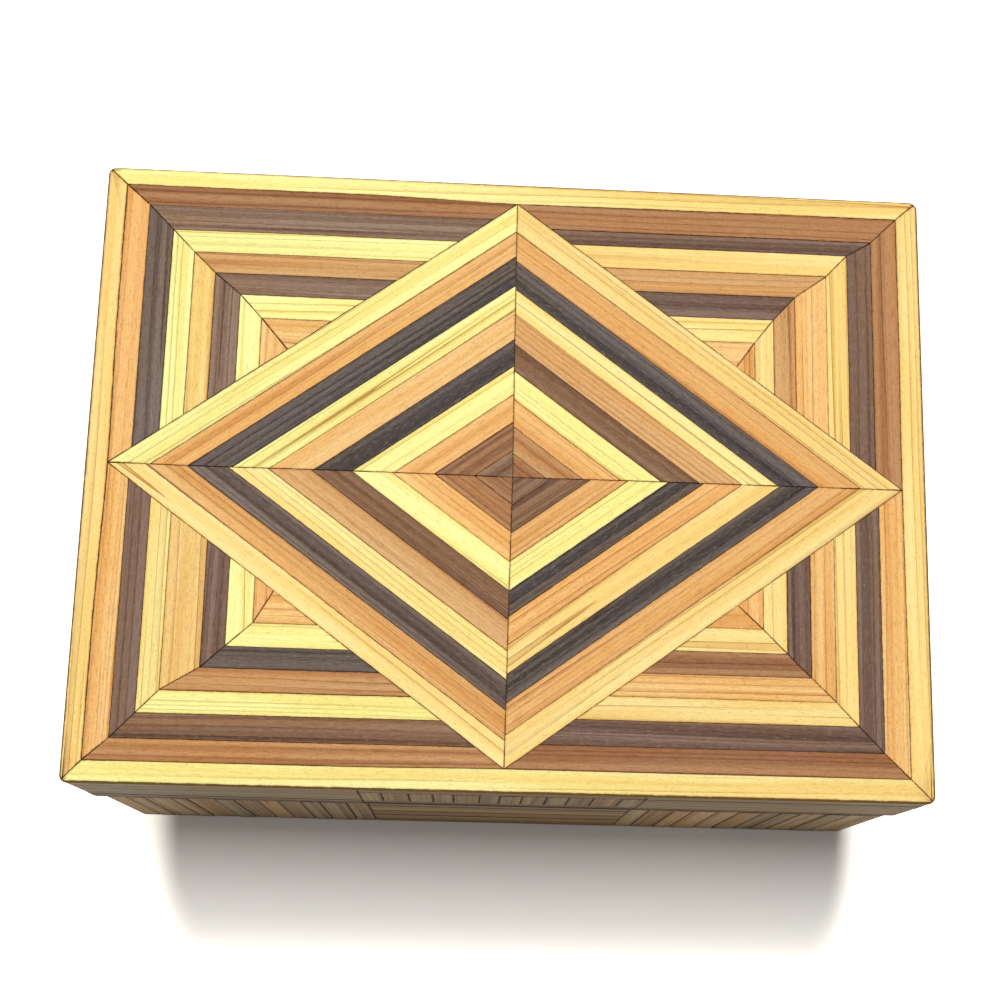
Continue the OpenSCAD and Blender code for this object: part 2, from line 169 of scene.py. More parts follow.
# Marks in the woods. Each is noise drawn out along the grain into streaks of about this length and
# width in millimetres; a mark begins at one level of the noise and is full at another.
Mark = namedtuple("Mark", "length width detail roughness begins full", defaults=(0.0, 1.0))
BEND = Mark(70, 14, 1.0, 0.5)
GROWTH = Mark(700, 5.5, 0.0, 0.5)
SLOW_TONE = Mark(60, 3.2, 1.0, 0.5, 0.40, 0.62)
BROAD_BAND = Mark(420, 2.4, 1.0, 0.5, 0.42, 0.66)
NARROW_BAND = Mark(240, 0.7, 1.0, 0.5, 0.52, 0.72)
UNBROKEN = Mark(90, 1.3, 1.0, 0.5, 0.36, 0.56)
FIBRE = Mark(3, 0.16, 3.0, 0.65, 0.48, 0.74)
MOTTLE = Mark(0.6, 0.35, 2.0, 0.7, 0.42, 0.72)
PORE = Mark(1.2, 0.3, 0.0, 0.5, 0.77, 0.84)
SCUFF = Mark(1.6, 0.2, 3.0, 0.65, 0.54, 0.74)
SOIL = Mark(2.5, 1.0, 4.0, 0.7, 0.36, 0.60)

# How the marks show. A row of four maps the first two values onto the last two.
BEND_REACH = 1.1 * MM
LINE_BODY = (0.55, 0.98, 0.0, 0.4)
LINE_EDGE = (0.92, 0.98, 0.0, 0.6)
BROKEN_LINE = 0.1
PORE_DEPTH = 0.35
EDGE_WEAR = (0.6, 1.0, 1.6, 1.0)
BARE_SHARE = 0.5
GLUE_LEVELS = (0.45, 0.95)
GLOSS_LEVELS = (0.35, 0.70)
GLOSS_SPREAD = 0.14
LINE_RELIEF = -0.5
FIBRE_RELIEF = 0.6
WOOD_BUMP = 0.6
WOOD_SHINE = 0.16
# A band round the joint of lid and body, darkened by painted shade under the lid's overhang and by
# dirt, and a darkening towards the foot
SEAM_HEIGHT = 39.5 * MM
SEAM_SHADE_AND_DIRT = (1.2 * MM, 2.7 * MM, 1.0, 0.0)
FOOT_DARKENING = (0.5 * MM, 4 * MM, 0.6, 0.0)

# Metal: clouds of tarnish, and fine marks rubbed from left to right
TARNISH_SCALE = 420.0
TARNISH_DETAIL = 5.0
TARNISH_LEVELS = (0.36, 0.72)
TARNISH_ROUGHNESS = 0.12
RUB_SCALE = (900, 9000, 9000)
RUB_DETAIL = 2.0
RUB_LEVELS = (0.3, 0.7)
RUB_ROUGHNESS = 0.18
RUB_BUMP = 0.4
RUB_DEPTH = 0.01 * MM

# How far the joints of each corner lie inwards of their even places, in tenths of a millimetre,
# from the frame strips to the innermost point
LEVEL_DRIFT = {
    ("left", "back"): (-7, -12, -8, -9, -13, -16, -15, 0),
    ("right", "back"): (-2, 4, -12, -12, -11, -8, -5, 0),
    ("left", "front"): (-3, -7, -6, -9, -11, -16, -17, 0),
    ("right", "front"): (0, 1, 4, 3, 2, 1, 1, 0),
}
UPRIGHT_DRIFT = {
    ("left", "back"): (-4, -4, -1, -4, -7, -3, -6, 0),
    ("right", "back"): (-1, 5, 8, 4, 21, 18, 10, 0),
    ("left", "front"): (-5, -5, -7, -13, 12, 9, 11, 0),
    ("right", "front"): (-1, 1, 2, -2, -1, -2, -2, 0),
}
# The same for the diamond, from its rim to the middle of the lid
DIAMOND_DRIFT = {
    ("left", "back"): (0, 2, -1, 3, -1, 3, 1, 2, 2, 2, 0),
    ("right", "back"): (0, 3, 7, 10, 6, 10, 9, 10, 9, 7, 0),
    ("left", "front"): (0, -3, -2, -2, -3, 0, 0, 0, 3, 2, 0),
    ("right", "front"): (0, 5, 8, 7, 6, 5, 0, 2, 0, 0, 0),
}
# How far the diamond's tips lie inwards, and how far its middle lies to the right and to the back
TIP_DRIFT = {"left": -2, "right": 2, "front": 0, "back": -2.5}
MIDDLE_DRIFT = (3, -1)
DRIFT_UNIT = 0.1 * MM
# Over what length a drift dies away towards the diamond's tips and away from a mitre
TIP_FADE = 30 * MM
MITRE_FADE = 20 * MM

# Bevels, and rubbed, soiled rims, which also paint shade where the strips round over
TOP_BEVEL = 0.06 * MM
SIDE_BEVEL = 0.2 * MM
BOARD_BEVEL = 0.3 * MM
BEVEL_STEPS = 2
SOILED_SHADED_RIM = 0.32 * MM

# How clean the wood is: 1 where it is clean, 0 where it is soiled, less where dirt is caked on.
# Strips vary between the two values of a pair; round the lid's outline, where dirt and painted
# shade of the rounded edge darken it, the first is at the foot of the worn edge and the second
# at its top.
END_CLEAN = 0.2
EDGE_CLEAN = (0.05, 0.65)
SIDE_EDGE_CLEAN = (-0.9, 0.1)
GLUED_CLEAN = 0.1
BOARD_EDGE_CLEAN = 0.85
CORNER_CLEAN = 0.75
CORNER_REACH = 3.7 * MM
OUTLINE_DIRT_AND_SHADE = (-1.1, 0.0)
OUTLINE_REACH = 1 * MM
OUTLINE_DROP = 0.06 * MM
OLD_JOINT_CLEAN = -0.6
OLD_JOINT_REACH = 0.9 * MM

# Hand work on the lid: strips spread and sink a little, and their joints waver
TOP_SPREAD = 0.048 * MM
SINK = 0.03 * MM
CUT_PITCH = 7 * MM
CUT_MARGIN = 1.2 * MM
WAVER_SIZE = 30 * MM
WAVER_REACH = 0.12 * MM
WAVER_MARGIN = 6 * MM
WAVER_SEED = 1

# Hand work on the sides
SIDE_SINK = 0.12 * MM
SHORT_TOP = 0.35 * MM
UPRIGHT_JOINT_DRIFT = 0.8 * MM
COURSE_JOINT_DRIFT = 0.35 * MM
BODY_TOP_GAP = 0.35 * MM
SECTION_GAP = 1 * MM
LID_COURSES = 5
BODY_COURSES = 8

# How much strips differ in tone, and how far apart on the tree their grain is taken
TONE_DRIFT = 0.03
SIDE_TONE_DRIFT = 0.26
GRAIN_SPREAD = 2

# Limits for the work on meshes
MERGE_DISTANCE = 0.002 * MM
SHORTEST_EDGE = 0.15 * MM
LEVEL_SLACK = 0.25 * MM
FLAT_ANGLE = math.radians(1)
SHARP_ANGLE = math.radians(38)
FLAT_FACING = 0.999
END_FACING = 0.35

X = Vector((1, 0, 0))
Y = Vector((0, 1, 0))
Z = Vector((0, 0, 1))
BODIES = frame["record"]["behaviour"]["bodies"]
SLOT_OF = {part["node"]: part["material_slot"] for part in frame["record"]["subparts"]}
BODY_OF = {node: body for body, nodes in BODIES.items() for node in nodes}

# Where things are, from the frame
HALF_WIDTH, HALF_DEPTH, LID_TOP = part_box("border_strips")[1]
CORNER_RINGS = 7
DIAMOND_RINGS = 10
FIRST_RING = HALF_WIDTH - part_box("corner_ring_1")[1].x
LAST_RING = HALF_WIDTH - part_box(f"corner_ring_{CORNER_RINGS}")[1].x
RING_PITCH = (LAST_RING - FIRST_RING) / (CORNER_RINGS - 1)
RIM_WIDTH = HALF_WIDTH - FIRST_RING
RIM_DEPTH = HALF_DEPTH - FIRST_RING
RIM_REACH = RIM_WIDTH * RIM_DEPTH / math.hypot(RIM_WIDTH, RIM_DEPTH)
CORNER_LEVELS = [FIRST_RING + step * RING_PITCH for step in range(CORNER_RINGS + 1)]
DIAMOND_LEVELS = [step * RIM_REACH / DIAMOND_RINGS for step in range(DIAMOND_RINGS + 1)]


def linear(screen):
    """A screen colour of 0 to 255 as a linear colour, by the usual screen curve."""
    values = []
    for part in screen:
        share = part / 255
        values.append(share / 12.92 if share <= 0.04045 else ((share + 0.055) / 1.055) ** 2.4)
    return Vector(values)


def eased(share):
    """A smooth step from nought to one."""
    share = min(max(share, 0), 1)
    return share * share * (3 - 2 * share)


def corner_of(point):
    """The quarter of the lid that a point is in."""
    return ("left" if point.x < 0 else "right", "front" if point.y < 0 else "back")


def is_level(point):
    """Whether a strip round this point runs along the front or back."""
    return HALF_DEPTH - abs(point.y) < HALF_WIDTH - abs(point.x)


def outward_of(node):
    """The way that the seen side of a node's strips faces."""
    for word, way in (("front", -Y), ("back", Y), ("left", -X), ("right", X)):
        if f"_{word}_" in f"_{node}_":
            return way
    return Z


def level_way(node):
    """The level direction in the face that a node lies in."""
    return Y if abs(outward_of(node).x) > 0 else X


def make_camera():
    """The camera above the front of the box, turned and leaning as the photograph shows."""
    data = bpy.data.cameras.new("camera")
    data.lens = CAMERA_LENS
    data.sensor_width = SENSOR_WIDTH
    data.shift_x, data.shift_y = CAMERA_SHIFT
    data.clip_start = CAMERA_NEAR
    camera = bpy.data.objects.new("camera", data)
    camera.matrix_world = (
        Matrix.Translation(CAMERA_PLACE)
        @ Matrix.Rotation(math.radians(CAMERA_TURN), 4, "Z")
        @ Matrix.Rotation(math.radians(CAMERA_LEAN), 4, "X")
        @ Matrix.Rotation(math.radians(CAMERA_ROLL), 4, "Z")
    )
    bpy.context.scene.collection.objects.link(camera)
    bpy.context.scene.camera = camera


def make_window():
    """A long soft light above and behind the box, which leaves its front in shade."""
    data = bpy.data.lights.new("window", "AREA")
    data.shape = "RECTANGLE"
    data.size, data.size_y = WINDOW_SIZE
    data.energy = WINDOW_POWER
    lamp = bpy.data.objects.new("window", data)
    lamp.location = WINDOW_PLACE
    lamp.rotation_mode = "QUATERNION"
    lamp.rotation_quaternion = (-Vector(WINDOW_PLACE)).to_track_quat("-Z", "Y")
    bpy.context.scene.collection.objects.link(lamp)


def add_node(tree, kind, settings=None, inputs=None):
    """Adds a shader node, sets it up and links or fills its inputs."""
    made = tree.nodes.new(kind)
    for name, value in (settings or {}).items():
        setattr(made, name, value)
    for name, value in (inputs or {}).items():
        if isinstance(value, bpy.types.NodeSocket):
            tree.links.new(value, made.inputs[name])
        else:
            made.inputs[name].default_value = value
    return made


def maths(tree, operation, *values):
    """A sum on numbers or sockets."""
    made = add_node(tree, "ShaderNodeMath", {"operation": operation}, dict(enumerate(values)))
    return made.outputs[0]


def fade(tree, value, low, high, start=0.0, end=1.0):
    """Maps low to high onto start to end, held at both ends."""
    settings = {"interpolation_type": "SMOOTHSTEP"}
    inputs = {"Value": value, "From Min": low, "From Max": high, "To Min": start, "To Max": end}
    return add_node(tree, "ShaderNodeMapRange", settings, inputs).outputs["Result"]


def blend(tree, kind, factor, first, second):
    """Mixes two colours."""
    settings = {"data_type": "RGBA", "blend_type": kind}
    made = add_node(tree, "ShaderNodeMix", settings, {0: factor, 6: first, 7: second})
    return made.outputs[2]


def ramp(tree, value, stops):
    """Looks a colour up between stops."""
    made = add_node(tree, "ShaderNodeValToRGB", None, {"Fac": value})
    elements = made.color_ramp.elements
    for spot, _ in stops[2:]:
        elements.new(spot)
    for element, (spot, colour) in zip(elements, stops):
        element.position = spot
        element.color = colour
    return made.outputs["Color"]


def seen_directly(tree):
    """One for what the camera, a gloss or a glass sees, nought for light that falls on things."""
    path = add_node(tree, "ShaderNodeLightPath")
    glossy, clear = path.outputs["Is Glossy Ray"], path.outputs["Is Transmission Ray"]
    mirrored = maths(tree, "MAXIMUM", glossy, clear)
    return maths(tree, "MAXIMUM", path.outputs["Is Camera Ray"], mirrored)


def make_room():
    """White all round to the eye, and an even soft light on the box."""
    world = bpy.data.worlds.new("room")
    world.use_nodes = True
    tree = world.node_tree
    tree.nodes.clear()
    lit, seen = (
        add_node(tree, "ShaderNodeBackground", None, {"Color": PHOTO_WHITE, "Strength": strength})
        for strength in (ROOM_LIGHT, 1.0)
    )
    inputs = {0: seen_directly(tree), 1: lit.outputs[0], 2: seen.outputs[0]}
    mixed = add_node(tree, "ShaderNodeMixShader", None, inputs)
    add_node(tree, "ShaderNodeOutputWorld", None, {"Surface": mixed.outputs[0]})
    bpy.context.scene.world = world
    bpy.context.scene.view_settings.view_transform = "Standard"


def shade_reach(tree):
    """How far a place on the floor lies outside the rectangle that shows its shadow in full."""
    place = add_node(tree, "ShaderNodeTexCoord").outputs["Object"]
    for operation, other in (
        ("SUBTRACT", SHADE_MIDDLE),
        ("ABSOLUTE", None),
        ("SUBTRACT", SHADE_HALF),
        ("MAXIMUM", (0, 0, 0)),
        ("MULTIPLY", SIDE_STRETCH),
    ):
        inputs = {0: place} if other is None else {0: place, 1: other}
        made = add_node(tree, "ShaderNodeVectorMath", {"operation": operation}, inputs)
        place = made.outputs["Vector"]
    made = add_node(tree, "ShaderNodeVectorMath", {"operation": "LENGTH"}, {0: place})
    return made.outputs["Value"]


def make_floor():
    """A pale floor with the box's shadow on it; a glow of painted light lightens the shadow a
    little near the box and makes the floor white a little way from it.
    """
    shape = bmesh.new()
    bmesh.ops.create_grid(shape, x_segments=1, y_segments=1, size=FLOOR_SIZE / 2)
    mesh = bpy.data.meshes.new("floor")
    shape.to_mesh(mesh)
    shape.free()
    floor = bpy.data.objects.new("floor", mesh)
    bpy.context.scene.collection.objects.link(floor)
    material = bpy.data.materials.new("pale_floor")
    material.use_nodes = True
    tree = material.node_tree
    tree.nodes.clear()
    # Painted light: a glow that lightens the shadow near the box and hides it farther out
    lift = fade(tree, shade_reach(tree), *FLOOR_FADE, FLOOR_PAINTED_LIGHT, 1.0)
    strength = maths(tree, "MULTIPLY", seen_directly(tree), lift)
    matt = add_node(tree, "ShaderNodeBsdfDiffuse", None, {"Color": FLOOR_COLOUR})
    glow = add_node(tree, "ShaderNodeEmission", None, {"Color": FLOOR_GLOW, "Strength": strength})
    both = add_node(tree, "ShaderNodeAddShader", None, {0: matt.outputs[0], 1: glow.outputs[0]})
    add_node(tree, "ShaderNodeOutputMaterial", None, {"Surface": both.outputs[0]})
    mesh.materials.append(material)


def new_material(name):
    """An empty material with its shader and output."""
    material = bpy.data.materials.new(name)
    material.use_nodes = True
    tree = material.node_tree
    tree.nodes.clear()
    shader = add_node(tree, "ShaderNodeBsdfPrincipled")
    add_node(tree, "ShaderNodeOutputMaterial", None, {"Surface": shader.outputs[0]})
    return material, tree, shader


def streaks(tree, place, mark):
    """Noise drawn out along the grain."""
    scale = (1 / (mark.length * MM), 1 / (mark.width * MM), 1)
    turned = add_node(tree, "ShaderNodeMapping", None, {"Vector": place, "Scale": scale})
    inputs = {"Vector": turned.outputs[0], "Scale": 1.0}
    inputs |= {"Detail": mark.detail, "Roughness": mark.roughness}
    made = add_node(tree, "ShaderNodeTexNoise", {"noise_dimensions": "2D"}, inputs)
    return made.outputs["Fac"]


def marks(tree, place, mark, off=0.0, on=1.0):
    """The marks that such noise makes, from the value between them to the value on them."""
    return fade(tree, streaks(tree, place, mark), mark.begins, mark.full, off, on)


def growth_lines(tree, place, crossings):
    """Long lines, broken here and there, that deepen slowly and then end sharply."""
    slow = streaks(tree, place, GROWTH)
    level = maths(tree, "FRACT", maths(tree, "MULTIPLY", slow, crossings))
    line = maths(tree, "ADD", fade(tree, level, *LINE_BODY), fade(tree, level, *LINE_EDGE))
    return maths(tree, "MULTIPLY", line, marks(tree, place, UNBROKEN, BROKEN_LINE, 1.0))


def wavering(tree, place):
    """The grain's places moved a little sideways along a strip."""
    bend = maths(tree, "SUBTRACT", streaks(tree, place, BEND), 0.5)
    aside = maths(tree, "MULTIPLY", bend, BEND_REACH)
    offset = add_node(tree, "ShaderNodeCombineXYZ", None, {"Y": aside})
    moved = {0: place, 1: offset.outputs[0]}
    return add_node(tree, "ShaderNodeVectorMath", {"operation": "ADD"}, moved).outputs[0]


def seam_shade_and_dirt(tree):
    """Painted shade under the lid's overhang and dirt from hands at the joint of lid and body, and
    a darkening towards the foot.
    """
    place = add_node(tree, "ShaderNodeTexCoord").outputs["Object"]
    height = add_node(tree, "ShaderNodeSeparateXYZ", None, {"Vector": place}).outputs["Z"]
    away = maths(tree, "ABSOLUTE", maths(tree, "SUBTRACT", height, SEAM_HEIGHT))
    return maths(tree, "MAXIMUM", fade(tree, away, *SEAM_SHADE_AND_DIRT), fade(tree, height, *FOOT_DARKENING))


def strip_wood(
    name, crossings, lines, bands, fibres, rubbed, roughness, relief, dirt=0.4, darkening_of=None
):
    """Wood cut along the grain, with growth lines, bands, fibres and dirt in the joints.

    The more crossings, the closer the growth lines lie. The next four say how strongly lines,
    bands, fibres and rubbed places show, dirt says how evenly the joints are soiled, and the last
    adds darkening of its own, which on the sides is painted shade and dirt at the seam.
    """
    material, tree, shader = new_material(name)
    straight = add_node(tree, "ShaderNodeUVMap", {"uv_map": "grain"}).outputs[0]
    stain = add_node(tree, "ShaderNodeAttribute", {"attribute_name": "stain"})
    clean = stain.outputs["Alpha"]
    grain = wavering(tree, straight)

    # Slow changes of tone, from paler to more orange wood
    tint = blend(tree, "MIX", marks(tree, grain, SLOW_TONE), PALE_TINT, WARM_TINT)
    colour = blend(tree, "MULTIPLY", 1.0, stain.outputs["Color"], tint)
    light = add_node(tree, "ShaderNodeRGBToBW", None, {"Color": colour}).outputs[0]

    # Broad and narrow bands of deeper wood, strongest in dark woods
    tint = ramp(tree, light, BAND_TINTS)
    for mark in (BROAD_BAND, NARROW_BAND):
        colour = blend(tree, "MULTIPLY", marks(tree, grain, mark, 0.0, bands), colour, tint)

    # Dark growth lines
    line = growth_lines(tree, grain, crossings)
    tint = ramp(tree, light, LINE_TINTS)
    colour = blend(tree, "MULTIPLY", maths(tree, "MULTIPLY", line, lines), colour, tint)

    # Short fibres, a fine mottle and small dark pores
    fibre = streaks(tree, grain, FIBRE)
    for shown, tint in (
        (fade(tree, fibre, FIBRE.begins, FIBRE.full, 0.0, fibres), FIBRE_TINT),
        (marks(tree, straight, MOTTLE, 0.0, fibres), MOTTLE_TINT),
        (marks(tree, straight, PORE, 0.0, PORE_DEPTH), PORE_TINT),
    ):
        colour = blend(tree, "MULTIPLY", shown, colour, tint)

    # Pale fibres where a dark stain is rubbed through, most of all at the edges
    worn = fade(tree, clean, *EDGE_WEAR)
    scuff = maths(tree, "MULTIPLY", marks(tree, grain, SCUFF, 0.0, rubbed), worn)
    bare = blend(tree, "MIX", BARE_SHARE, colour, BARE_WOOD)
    colour = blend(tree, "MIX", scuff, colour, bare)

    # Glue and dirt in the joints; the same darkening paints shade round the lid's outline, at the
    # strips' rims and, on the sides, under the lid's overhang
    soil_and_shade = maths(tree, "SUBTRACT", 1.0, clean)
    if darkening_of:
        soil_and_shade = maths(tree, "MAXIMUM", soil_and_shade, darkening_of(tree))
    soil_and_shade = maths(tree, "MULTIPLY", soil_and_shade, marks(tree, straight, SOIL, dirt, 1.0))
    colour = blend(tree, "MULTIPLY", soil_and_shade, colour, SOIL_AND_SHADE_TINT)
    caked = fade(tree, soil_and_shade, *GLUE_LEVELS)
    colour = blend(tree, "MIX", caked, colour, ramp(tree, light, GLUE_DIRT_AND_SHADE))

    # A dull gloss, and relief along the lines and fibres
    dull = fade(tree, fibre, *GLOSS_LEVELS, roughness, roughness + GLOSS_SPREAD)
    raised = maths(tree, "MULTIPLY", line, LINE_RELIEF)
    height = maths(tree, "SUBTRACT", raised, maths(tree, "MULTIPLY", fibre, FIBRE_RELIEF))
    inputs = {"Height": height, "Strength": WOOD_BUMP, "Distance": relief}
    bump = add_node(tree, "ShaderNodeBump", None, inputs)
    tree.links.new(colour, shader.inputs["Base Color"])
    tree.links.new(dull, shader.inputs["Roughness"])
    tree.links.new(bump.outputs[0], shader.inputs["Normal"])
    shader.inputs["Specular IOR Level"].default_value = WOOD_SHINE
    return material


def metal(name, colour, worn, roughness):
    """Dull metal with darker stains and fine rubbed marks."""
    material, tree, shader = new_material(name)
    place = add_node(tree, "ShaderNodeTexCoord").outputs["Object"]
    inputs = {"Vector": place, "Scale": TARNISH_SCALE, "Detail": TARNISH_DETAIL}
    cloud = add_node(tree, "ShaderNodeTexNoise", None, inputs).outputs["Fac"]
    tarnish = fade(tree, cloud, *TARNISH_LEVELS)
    turned = add_node(tree, "ShaderNodeMapping", None, {"Vector": place, "Scale": RUB_SCALE})
    inputs = {"Vector": turned.outputs[0], "Scale": 1.0, "Detail": RUB_DETAIL}
    rubs = add_node(tree, "ShaderNodeTexNoise", None, inputs).outputs["Fac"]
    rough = fade(tree, rubs, *RUB_LEVELS, roughness, roughness + RUB_ROUGHNESS)
    rough = maths(tree, "ADD", rough, maths(tree, "MULTIPLY", tarnish, TARNISH_ROUGHNESS))
    inputs = {"Height": rubs, "Strength": RUB_BUMP, "Distance": RUB_DEPTH}
    bump = add_node(tree, "ShaderNodeBump", None, inputs)
    tree.links.new(blend(tree, "MIX", tarnish, colour, worn), shader.inputs["Base Color"])
    tree.links.new(rough, shader.inputs["Roughness"])
    tree.links.new(bump.outputs[0], shader.inputs["Normal"])
    shader.inputs["Metallic"].default_value = 1.0
    return material


def merged_copy(node):
    """A bmesh of a frame node with its triangles merged into flat faces."""
    stock = bmesh.new()
    stock.from_mesh(frame["nodes"][node].data)
    bmesh.ops.remove_doubles(stock, verts=stock.verts, dist=MERGE_DISTANCE)
    bmesh.ops.dissolve_limit(
        stock, angle_limit=FLAT_ANGLE, verts=stock.verts, edges=stock.edges
    )
    stock.faces.index_update()
    return stock


def loose_parts(stock):
    """The face numbers of each separate solid."""
    parts = []
    met = set()
    for first in stock.faces:
        if first.index in met:
            continue
        met.add(first.index)
        part = [first]
        for face in part:
            for edge in face.edges:
                for other in edge.link_faces:
                    if other.index not in met:
                        met.add(other.index)
                        part.append(other)
        parts.append({face.index for face in part})
    return parts


def single_part(stock, part):
    """A bmesh of one of the separate solids."""
    alone = stock.copy()
    spare = [face for face in alone.faces if face.index not in part]
    bmesh.ops.delete(alone, geom=spare, context="FACES")
    return alone


def reach_along(solid, way):
    """Where the solid begins and ends in a direction."""
    places = [vert.co.dot(way) for vert in solid.verts]
    return min(places), max(places)


def middle_of(solid):
    """Middle of the solid's box."""
    return Vector([sum(reach_along(solid, way)) / 2 for way in (X, Y, Z)])


def cut_along(solid, direction):
    """Divides a strip across its length, so that it can bend; no cut comes close to a corner."""
    corners = [vert.co.dot(direction) for vert in solid.verts]
    first = math.ceil(min(corners) / CUT_PITCH)
    last = math.floor(max(corners) / CUT_PITCH)
    for step in range(first, last + 1):
        reach = step * CUT_PITCH
        if all(abs(corner - reach) > CUT_MARGIN for corner in corners):
            bmesh.ops.bisect_plane(
                solid, geom=solid.verts[:] + solid.edges[:] + solid.faces[:], dist=MERGE_DISTANCE,
                plane_co=direction * reach, plane_no=direction,
            )


def drift_at(value, levels, drifts):
    """The drift at a place: each level has its own, and between two it is shared."""
    for low, high, low_drift, high_drift in zip(levels, levels[1:], drifts, drifts[1:]):
        if value <= high:
            share = max(value - low, 0) / (high - low)
            return low_drift * (1 - share) + high_drift * share
    return drifts[-1]


def ring_drift(inward, along, drifts):
    """The inward drift of a corner's joints; the frame's joint has none at the diamond's tips."""
    outer = drifts[0] * eased(along / TIP_FADE)
    return DRIFT_UNIT * drift_at(inward, CORNER_LEVELS, (outer,) + drifts[1:])


def move_corner_strip(solid, level, corner):
    """Moves the joints of a corner; the strips' ends stay on the mitre and the diamond's rim."""
    across_drifts, along_drifts = LEVEL_DRIFT[corner], UPRIGHT_DRIFT[corner]
    half_long, half_short, rim_long, rim_short = HALF_WIDTH, HALF_DEPTH, RIM_WIDTH, RIM_DEPTH
    along, across = 0, 1
    if not level:
        across_drifts, along_drifts = along_drifts, across_drifts
        half_long, half_short, rim_long, rim_short = half_short, half_long, rim_short, rim_long
        along, across = across, along
    for vert in solid.verts:
        place = abs(vert.co[along])
        inward = half_short - abs(vert.co[across])
        moved = inward + ring_drift(inward, place, across_drifts)

        # Where the mitre and the rim are, as distances from the end of the lid
        mitre = inward + DRIFT_UNIT * drift_at(inward, CORNER_LEVELS, along_drifts)
        rim = half_long - rim_long * (1 - (half_short - inward) / rim_short)
        moved_rim = half_long - rim_long * (1 - (half_short - moved) / rim_short)

        share = (half_long - place - inward) / max(rim - inward, MERGE_DISTANCE)
        length = mitre + share * (moved_rim - mitre)
        vert.co[along] = math.copysign(half_long - length, vert.co[along])
        vert.co[across] = math.copysign(half_short - moved, vert.co[across])


def move_frame_strip(solid, level):
    """Lets the inner edge of a frame strip follow the corners beside it."""
    half_long, half_short = (HALF_WIDTH, HALF_DEPTH) if level else (HALF_DEPTH, HALF_WIDTH)
    along, across = (0, 1) if level else (1, 0)
    for vert in solid.verts:
        corner = corner_of(vert.co)
        edge_drift, end_drift = LEVEL_DRIFT[corner][0], UPRIGHT_DRIFT[corner][0]
        if not level:
            edge_drift, end_drift = end_drift, edge_drift
        place = abs(vert.co[along])
        inward = half_short - abs(vert.co[across])
        share = DRIFT_UNIT * inward / FIRST_RING
        beyond = (half_long - place - inward) / MITRE_FADE
        moved = place - share * end_drift * (1 - eased(beyond))
        vert.co[along] = math.copysign(moved, vert.co[along])
        moved = half_short - inward - share * edge_drift * eased(place / TIP_FADE)
        vert.co[across] = math.copysign(moved, vert.co[across])


def move_diamond_strip(solid, corner):
    """Gives the joints of one quarter of the diamond their own places."""
    drifts = DIAMOND_DRIFT[corner][::-1]
    for vert in solid.verts:
        reach = RIM_REACH * (abs(vert.co.x) / RIM_WIDTH + abs(vert.co.y) / RIM_DEPTH)
        if reach > MERGE_DISTANCE:
            scale = 1 - DRIFT_UNIT * drift_at(reach, DIAMOND_LEVELS, drifts) / reach
            vert.co.x *= scale
            vert.co.y *= scale


def stretched(value, rim, half, tip, middle):
    """Moves a place so that the diamond's tip and the frame's inner edge follow the tip's drift."""
    if abs(value) < rim:
        return value * (1 - tip / rim) + middle * (1 - abs(value) / rim)
    return math.copysign(half - (half - abs(value)) * (1 + tip / (half - rim)), value)


def settle(solid):
    """Puts the diamond's tips and middle in place, and lets all joints of the lid waver."""
    for vert in solid.verts:
        side, end = corner_of(vert.co)
        share_x, share_y = abs(vert.co.x) / RIM_WIDTH, abs(vert.co.y) / RIM_DEPTH
        near = (1 - min(share_x, 1)) * (1 - min(share_y, 1))
        middle_x, middle_y = (DRIFT_UNIT * part * near for part in MIDDLE_DRIFT)
        tip_x, tip_y = DRIFT_UNIT * TIP_DRIFT[side], DRIFT_UNIT * TIP_DRIFT[end]
        vert.co.x = stretched(vert.co.x, RIM_WIDTH, HALF_WIDTH, tip_x, middle_x)
        vert.co.y = stretched(vert.co.y, RIM_DEPTH, HALF_DEPTH, tip_y, middle_y)
        inside = min(HALF_WIDTH - abs(vert.co.x), HALF_DEPTH - abs(vert.co.y))
        share = min(max(inside / WAVER_MARGIN, 0), 1)
        drift = noise.noise_vector(Vector((vert.co.x, vert.co.y, 0)) / WAVER_SIZE)
        vert.co.x += drift.x * WAVER_REACH * share
        vert.co.y += drift.y * WAVER_REACH * share


def widen(solid, direction, amount):
    """Makes a strip of the lid wider on both sides, so that its joints partly close."""
    across = Z.cross(direction)
    low, high = reach_along(solid, across)
    middle = (low + high) / 2
    for vert in solid.verts:
        vert.co += across * (vert.co.dot(across) - middle) / (high - middle) * amount


def sink(solid, outward, depth):
    """Lets a strip lie a little lower than its neighbours."""
    for vert in solid.verts:
        vert.co -= outward * depth


def board_cleanness(loop, outward):
    """How clean a face corner of a board is: where strips are glued on, it is dark with glue."""
    if loop.face.normal.dot(outward) > FLAT_FACING:
        return GLUED_CLEAN
    around = loop.vert.link_faces
    flat = all(other.normal.dot(loop.face.normal) > FLAT_FACING for other in around)
    return 1 if flat else BOARD_EDGE_CLEAN


def is_round_corner(place, outward, slopes):
    """Whether a place on a side lies on the rounding between two sides of the box."""
    is_end = abs(outward.x) > 0
    half, reach = (HALF_DEPTH, abs(place.y)) if is_end else (HALF_WIDTH, abs(place.x))
    return half - reach < CORNER_REACH and all(abs(normal.z) < END_FACING for normal in slopes)


